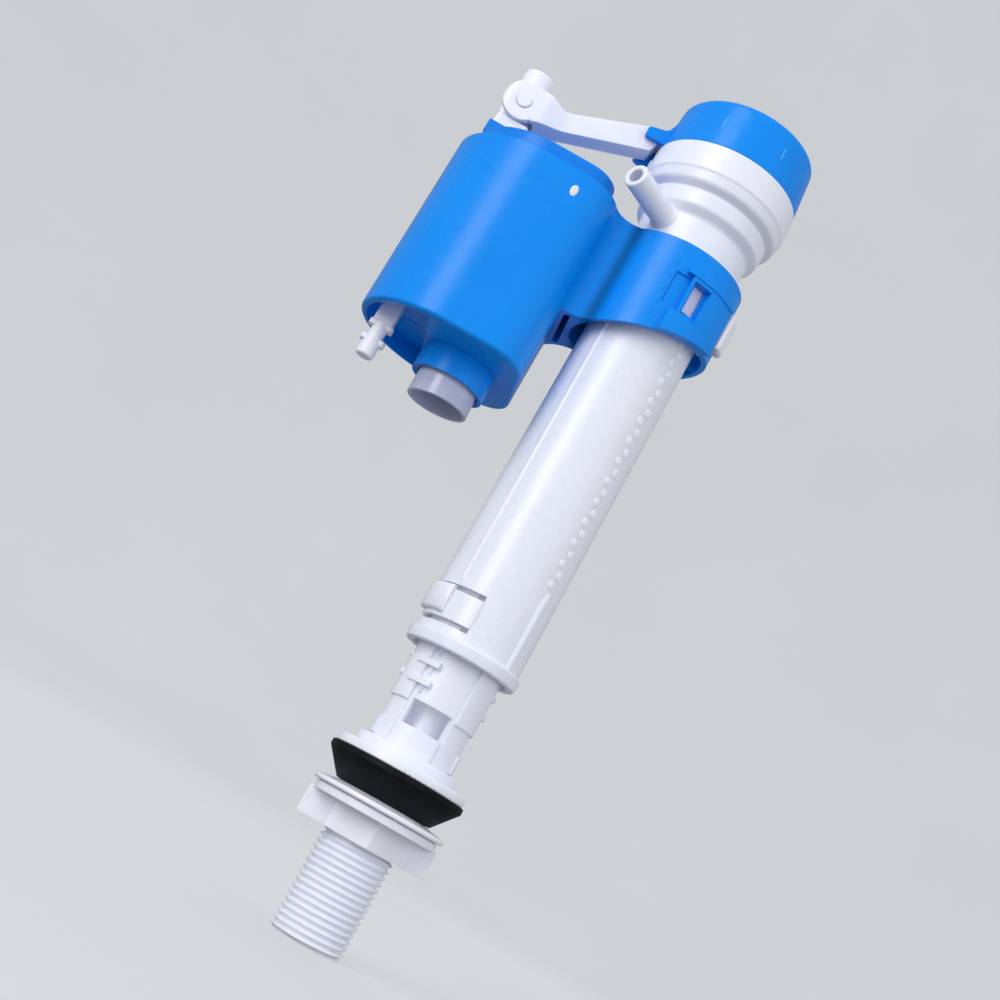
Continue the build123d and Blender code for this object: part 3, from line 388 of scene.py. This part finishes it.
def shank_thread():
    """The right-hand supply thread as one helix, round the plain bore."""
    shape = bmesh.new()
    phases = (0.0, 0.06, 0.25, 0.44, 0.5, 0.56, 0.75, 0.94)    # round the crest and the root
    columns = []
    for k in range(AROUND):
        turned = k / AROUND
        column = []
        for turn in range(THREAD_TURNS - 1):
            for phase in phases:
                height = THREAD_START + (turn + turned + phase) * THREAD_PITCH
                radius = thread_radius(phase, height, THREAD_TURNS - 1 - turn - turned)
                column.append(shape.verts.new(polar(radius, 360.0 * turned, height)))
        columns.append(column)
    step = len(phases)
    for k, column in enumerate(columns):
        beside = columns[(k + 1) % AROUND]
        shift = step if k == AROUND - 1 else 0
        for j in range(len(column) - 1 - shift):
            shape.faces.new((column[j], beside[j + shift], beside[j + shift + 1], column[j + 1]))
    # plain upper end, closed to the helix's own slanting end
    top = ring_of_verts(shape, THREAD_ROOT, SHANK_CUT)
    for k, column in enumerate(columns):
        if k == AROUND - 1:
            tail = [column[j] for j in range(len(column) - 1 - step, len(column))]
            shape.faces.new((top[k], top[0], columns[0][-1], *tail))
        else:
            shape.faces.new((top[k], top[k + 1], columns[k + 1][-1], column[-1]))
    everything = shape.verts[:] + shape.edges[:] + shape.faces[:]
    bmesh.ops.bisect_plane(
        shape, geom=everything, plane_co=(0, 0, 0), plane_no=(0, 0, 1), clear_inner=True
    )
    bore = ((BORE_R + 0.6, 0.0), (BORE_R + 0.15, 0.2), (BORE_R, 0.6), (BORE_R, SHANK_CUT))
    skin(shape, [ring_of_verts(shape, radius, height) for radius, height in bore])
    for height in (0.0, SHANK_CUT * MM):
        rims = [
            edge for edge in shape.edges
            if edge.is_boundary and abs(edge.verts[0].co.z - height) < 1e-6
        ]
        bmesh.ops.bridge_loops(shape, edges=rims)
    piece = new_piece("shank_thread", shape, "white_moulding", "base", 35.0)
    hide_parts("threaded_shank")


def shank_upper():
    """The shank above its thread: flange, sleeve, rack and inner pipe, from the node's own mesh."""
    shape = bmesh.new()
    shape.from_mesh(NODES["threaded_shank"].data)
    bmesh.ops.remove_doubles(shape, verts=shape.verts, dist=0.002 * MM)
    everything = shape.verts[:] + shape.edges[:] + shape.faces[:]
    bmesh.ops.bisect_plane(
        shape, geom=everything,
        plane_co=(0, 0, SHANK_CUT * MM), plane_no=(0, 0, 1), clear_inner=True,
    )
    rim = [edge for edge in shape.edges if edge.is_boundary]
    bmesh.ops.bridge_loops(shape, edges=rim)
    piece = new_piece("shank_upper", shape, "white_moulding", "base")
    # the shank's white, with a painted glow inside the sleeve
    paint(piece, "shank_white_painted_glow")
    soften(piece, 0.14)
    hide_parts("threaded_shank")


UP = Vector((0.0, 0.0, 1.0))
SUNK = 0.02          # how far a mark's edge starts below the surface it lies on


def dome(shape, centre, across, along, rise, around, rings=4):
    """A low closed dome; across and along are its half axes, rise its height off the surface."""
    outward = rise.normalized()
    rows = []
    for ring in range(rings):
        swell = math.cos(math.pi / 2 * ring / rings)
        lift = rise * math.sin(math.pi / 2 * ring / rings)
        rows.append([
            shape.verts.new(
                centre + lift
                + across * swell * math.cos(2 * math.pi * k / around)
                + along * swell * math.sin(2 * math.pi * k / around)
            )
            for k in range(around)
        ])
    sunk = [shape.verts.new(vert.co - outward * 0.25 * MM) for vert in rows[0]]
    skin(shape, [sunk, *rows])
    shape.faces.new(reversed(sunk))
    top = shape.verts.new(centre + rise)
    last = rows[-1]
    for k in range(around):
        shape.faces.new((last[k], last[(k + 1) % around], top))


def curved_block(shape, radii, azimuths, heights, edge):
    """A closed block bent round the tube axis, its outer face drawn in by a rounded edge."""
    steps = max(2, int(abs(azimuths[1] - azimuths[0]) / 3) + 1)
    arc = math.degrees(edge / radii[1])
    layers = (
        (radii[0], 0.0), (radii[1] - edge, 0.0), (radii[1] - 0.3 * edge, 0.3), (radii[1], 1.0),
    )
    rows = []
    for radius, inset in layers:
        az_from = azimuths[0] + inset * arc
        az_to = azimuths[1] - inset * arc
        low = heights[0] + inset * edge
        high = heights[1] - inset * edge
        lower = [az_from + (az_to - az_from) * k / steps for k in range(steps + 1)]
        row = [polar(radius, azimuth, low) for azimuth in lower]
        row += [polar(radius, azimuth, high) for azimuth in reversed(lower)]
        rows.append([shape.verts.new(point) for point in row])
    skin(shape, rows)
    for row, turn in ((rows[0], 1), (rows[-1], -1)):
        for k in range(steps):
            quad = (row[k], row[k + 1], row[2 * steps - k], row[2 * steps + 1 - k])
            shape.faces.new(quad[::turn])


# small marks, in millimetres and degrees
TUBE_FOOT_R = 15.85
TUBE_TAPER = 0.25 / 130.0
TUBE_FOOT = 85.0
DOT_COUNT = 32
DOT_FIRST = 107.4
DOT_STEP = 3.3
DOT_AZIMUTHS = (47.6, 42.6)
DOT_R = 1.3
DOT_RISE = 0.2


def tube_radius(height):
    """The outer tube tapers a little towards its top."""
    return TUBE_FOOT_R - TUBE_TAPER * (height - TUBE_FOOT)


def tube_dots():
    """Two staggered columns of small gripping dots up the right of the tube."""
    shape = bmesh.new()
    for k in range(DOT_COUNT):
        height = DOT_FIRST + DOT_STEP * k
        azimuth = DOT_AZIMUTHS[k % 2]
        outward = polar(1.0, azimuth).normalized()
        across = Vector((-outward.y, outward.x, 0.0)) * DOT_R * MM
        centre = polar(tube_radius(height) - SUNK, azimuth, height)
        dome(shape, centre, across, UP * DOT_R * MM, outward * DOT_RISE * MM, 20)
    dots = new_piece("tube_dots", shape, "white_tube", "riser")
    paint(dots, "tube_dot_white")


COLLAR_R = 20.5
SCORE_TOP = 210.6
SCORE_STEP = 4.1
SCORE_DASHES = 6
SCORE_AZIMUTHS = (-5.8, -5.0)


def collar_score_line():
    """A dashed witness line down the collar, left of the clip window."""
    shape = bmesh.new()
    for k in range(SCORE_DASHES):
        middle = SCORE_TOP - SCORE_STEP * k
        radii = (COLLAR_R - 0.3, COLLAR_R + 0.14)
        curved_block(shape, radii, SCORE_AZIMUTHS, (middle - 1.3, middle + 1.1), 0.06)
    new_piece("collar_score_line", shape, "blue_plastic", "cup")


CAP_SIDE_Z = 252.4
CAP_SIDE_R = 21.94
CAP_SIDE_LEAN = 0.079      # how far the cap's side draws in for each millimetre up
CAP_LINES = 7
CAP_LINE_AZIMUTH = -26.0
CAP_LINE_STEP = 51.4


def cap_witness_lines():
    """Faint raised lines up the cap's tapered side, left by the mould's segments, painted a paler
    blue as a highlight.
    """
    shape = bmesh.new()
    for k in range(CAP_LINES):
        azimuth = CAP_LINE_STEP * k + CAP_LINE_AZIMUTH
        centre = polar(CAP_SIDE_R - SUNK, azimuth, CAP_SIDE_Z)
        outward = polar(1.0, azimuth).normalized()
        across = Vector((-outward.y, outward.x, 0.0))
        upward = (UP - outward * CAP_SIDE_LEAN).normalized()
        dome(shape, centre, across * 0.22 * MM, upward * 2.6 * MM, outward * 0.1 * MM, 20, 3)
    lines = new_piece("cap_witness_lines", shape, "blue_plastic", "riser")
    # painted a paler blue as a highlight
    paint(lines, "blue_painted_highlight")


PAD_RADII = (15.6, 17.35)
PAD_AZIMUTHS = (-88.0, -44.0)
PAD_HEIGHTS = (90.1, 98.1)
PAD_EDGE = 0.9


def latch_pad():
    """The thick rounded press pad on the end of the height latch's tongue."""
    shape = bmesh.new()
    curved_block(shape, PAD_RADII, PAD_AZIMUTHS, PAD_HEIGHTS, PAD_EDGE)
    new_piece("latch_pad", shape, "white_tube", "latch")


CUP_X = -44.0 * MM
RIM_END_X = -26.5 * MM     # the bead stops before the web
BEAD_R = 0.14 * MM
BEAD_AROUND = 8


def cup_rim_bead():
    """The fine lip round the cup's rim, along the outer edge of the node's own mesh, painted a
    paler blue as a highlight.
    """
    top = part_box("float_cup")[1][2]
    middle = Vector((CUP_X, 0.0, top))
    rim = {}
    for vert in NODES["float_cup"].data.vertices:
        away = vert.co - middle
        if away.z < -0.02 * MM or vert.co.x > RIM_END_X:
            continue
        sector = round(math.degrees(math.atan2(away.y, -away.x)) / 4)
        if sector not in rim or away.length > rim[sector].length:
            rim[sector] = away
    shape = bmesh.new()
    rows = []
    for sector in sorted(rim):
        away = rim[sector]
        outward = away.normalized()
        centre = middle + away - outward * BEAD_R - UP * BEAD_R
        ring = []
        for k in range(BEAD_AROUND):
            turn = 2 * math.pi * k / BEAD_AROUND
            offset = outward * math.cos(turn) + UP * math.sin(turn)
            ring.append(shape.verts.new(centre + offset * BEAD_R))
        rows.append(ring)
    skin(shape, rows)
    shape.faces.new(rows[0])
    shape.faces.new(reversed(rows[-1]))
    bead = new_piece("cup_rim_bead", shape, "blue_plastic", "cup")
    # painted a paler blue as a highlight
    paint(bead, "blue_painted_highlight")


OVAL_X = -36.6 * MM
OVAL_BELOW_RIM = 6.2 * MM
OVAL_HALF_AXES = (1.1 * MM, 1.75 * MM)


def cup_pale_oval():
    """A small pale raised oval near the cup's rim."""
    low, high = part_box("float_cup")
    shape = bmesh.new()
    centre = Vector((OVAL_X, low[1] - 0.03 * MM, high[2] - OVAL_BELOW_RIM))
    across = Vector((OVAL_HALF_AXES[0], 0, 0))
    dome(shape, centre, across, UP * OVAL_HALF_AXES[1], Vector((0, -0.12 * MM, 0)), 20, 3)
    new_piece("cup_pale_oval", shape, "white_tube", "cup")


EJECTOR_CENTRE = Vector((-60.4, 5.0, 161.0)) * MM
EJECTOR_R = 2.5
EJECTOR_BEAD_R = 0.22


def ejector_ring():
    """The ring left by an ejector pin on the roof of the pocket under the cup."""
    shape = bmesh.new()
    around, across = 32, 8
    rows = []
    for j in range(across):
        turn = 2 * math.pi * j / across
        radius = (EJECTOR_R + EJECTOR_BEAD_R * math.cos(turn)) * MM
        rows.append([
            shape.verts.new(EJECTOR_CENTRE + Vector((
                radius * math.cos(2 * math.pi * k / around),
                radius * math.sin(2 * math.pi * k / around),
                -EJECTOR_BEAD_R * MM * math.sin(turn),
            )))
            for k in range(around)
        ])
    skin(shape, [*rows, rows[0]])
    new_piece("ejector_ring", shape, "blue_plastic", "cup")


LEVER_SLOPE = math.atan2(12.1, 34.6)
LEVER_MARK_CENTRE = Vector((-41.0, -1.2, 236.15)) * MM
LEVER_MARK_R = 1.0 * MM


def lever_ejector_mark():
    """A small round mark on the lever's underside."""
    shape = bmesh.new()
    along = Vector((math.cos(LEVER_SLOPE), 0, math.sin(LEVER_SLOPE)))
    down = Vector((math.sin(LEVER_SLOPE), 0, -math.cos(LEVER_SLOPE)))
    across = Vector((0, LEVER_MARK_R, 0))
    dome(shape, LEVER_MARK_CENTRE, along * LEVER_MARK_R, across, down * 0.25 * MM, 16, 3)
    new_piece("lever_ejector_mark", shape, "white_lever", "lever")


shank_thread()
shank_upper()
tube_dots()
collar_score_line()
cup_rim_bead()
cup_pale_oval()
ejector_ring()
cap_witness_lines()
latch_pad()
lever_ejector_mark()

# ---- stage, lights and camera -------------------------------------------------------

OBJECT_LEAN = math.radians(29.56)    # the tube leans clockwise in the picture
LOOK_UP = math.radians(14.0)
CAMERA_AIM = Vector((-12.4, 0.0, 127.1)) * MM
CAMERA_DISTANCE = 387 * MM


def make_camera():
    """A 50 mm camera that looks up at the part and leans with it."""
    forward = Vector((0.0, math.cos(LOOK_UP), math.sin(LOOK_UP)))
    right = Vector((1.0, 0.0, 0.0))
    up = right.cross(forward)
    camera_x = math.cos(OBJECT_LEAN) * right + math.sin(OBJECT_LEAN) * up
    camera_y = math.cos(OBJECT_LEAN) * up - math.sin(OBJECT_LEAN) * right
    camera = bpy.data.objects.new("camera", bpy.data.cameras.new("camera"))
    camera.data.lens = 50.0
    camera.data.sensor_width = 36.0
    camera.data.clip_start = 0.01
    turn = Matrix((camera_x, camera_y, -forward)).transposed().to_4x4()
    camera.matrix_world = Matrix.Translation(CAMERA_AIM - forward * CAMERA_DISTANCE) @ turn
    bpy.context.scene.collection.objects.link(camera)
    bpy.context.scene.camera = camera


def softbox(name, place, aim, size, watts, colour=(1.0, 1.0, 1.0), seen=True):
    """An area light; seen says whether glossy surfaces mirror it."""
    light = bpy.data.lights.new(name, "AREA")
    light.shape = "RECTANGLE"
    light.size, light.size_y = size
    light.energy = watts
    light.color = colour
    lamp = bpy.data.objects.new(name, light)
    lamp.location = place
    lamp.visible_glossy = seen
    lamp.rotation_euler = (Vector(aim) - Vector(place)).to_track_quat("-Z", "Y").to_euler()
    bpy.context.scene.collection.objects.link(lamp)


def make_stage():
    """A pale floor that curves up all round into a backdrop, evenly pale in every direction."""
    shape = bmesh.new()
    flat, bend, steps = 1.1, 0.9, 16
    wall_top = 3.0
    profile = [(0.0001, 0.0), (flat, 0.0)]
    for step in range(1, steps + 1):
        angle = math.pi / 2 * step / steps
        profile.append((flat + bend * math.sin(angle), bend * (1 - math.cos(angle))))
    profile.append((flat + bend, wall_top))
    skin(shape, [ring_of_verts(shape, radius / MM, height / MM) for radius, height in profile])
    mesh = bpy.data.meshes.new("floor")
    shape.to_mesh(mesh)
    shape.free()
    mesh.polygons.foreach_set("use_smooth", [True] * len(mesh.polygons))
    floor = bpy.data.objects.new("floor", mesh)
    floor.location.z = -0.2 * MM
    bpy.context.scene.collection.objects.link(floor)
    shader = Shader("floor")
    cloud = shader.ramp(shader.noise(3.0, 4.0, 0.6), 0.3, 0.7)
    shader.colour(shader.mix(cloud, (0.20, 0.205, 0.21), (0.17, 0.175, 0.18)))
    shader.roughness(shader.ramp(cloud, 0.0, 1.0, 0.8, 0.9))
    shader.set(Emission_Color=(0.93, 0.96, 1.0, 1.0), Emission_Strength=0.5)
    shader.set(Specular_IOR_Level=0.1)
    floor.data.materials.append(shader.material)
    floor.visible_diffuse = False
    floor.visible_glossy = False
    floor.visible_transmission = False


def make_world():
    """Soft studio air: bright above and around, dim below."""
    world = bpy.data.worlds.new("world")
    bpy.context.scene.world = world
    world.use_nodes = True
    nodes = world.node_tree.nodes
    links = world.node_tree.links
    direction = nodes.new("ShaderNodeTexCoord").outputs["Generated"]
    split = nodes.new("ShaderNodeSeparateXYZ")
    links.new(direction, split.inputs["Vector"])
    level = nodes.new("ShaderNodeMapRange")
    level.interpolation_type = "SMOOTHSTEP"
    level.inputs["From Min"].default_value = -0.85
    level.inputs["From Max"].default_value = 0.35
    level.inputs["To Min"].default_value = 0.3
    level.inputs["To Max"].default_value = 0.88
    links.new(split.outputs["Z"], level.inputs["Value"])
    background = nodes["Background"]
    background.inputs["Color"].default_value = (0.97, 0.98, 1.0, 1.0)
    # the studio's walls show less in glossy reflections than in its soft light
    glossy = nodes.new("ShaderNodeLightPath").outputs["Is Glossy Ray"]
    dim = nodes.new("ShaderNodeMapRange")
    dim.inputs["To Min"].default_value = 1.0
    dim.inputs["To Max"].default_value = 0.35
    links.new(glossy, dim.inputs["Value"])
    strength = nodes.new("ShaderNodeMath")
    strength.operation = "MULTIPLY"
    links.new(level.outputs["Result"], strength.inputs[0])
    links.new(dim.outputs["Result"], strength.inputs[1])
    links.new(strength.outputs["Value"], background.inputs["Strength"])


def make_lights():
    """A tall key from the left, a cool fill from the right and a weak light from behind."""
    middle = (-0.015, 0.0, 0.14)
    cool = (0.96, 0.97, 1.0)
    softbox("key", (-0.60, -0.78, 0.55), middle, (0.4, 0.9), 6.4)
    softbox("fill", (0.75, -0.60, 0.16), middle, (0.8, 0.8), 2.6, cool, seen=False)
    softbox("back", (0.15, 0.75, 0.7), middle, (0.8, 0.5), 1.2, seen=False)


make_camera()
make_stage()
make_world()
make_lights()
bpy.context.scene.view_settings.view_transform = "Standard"
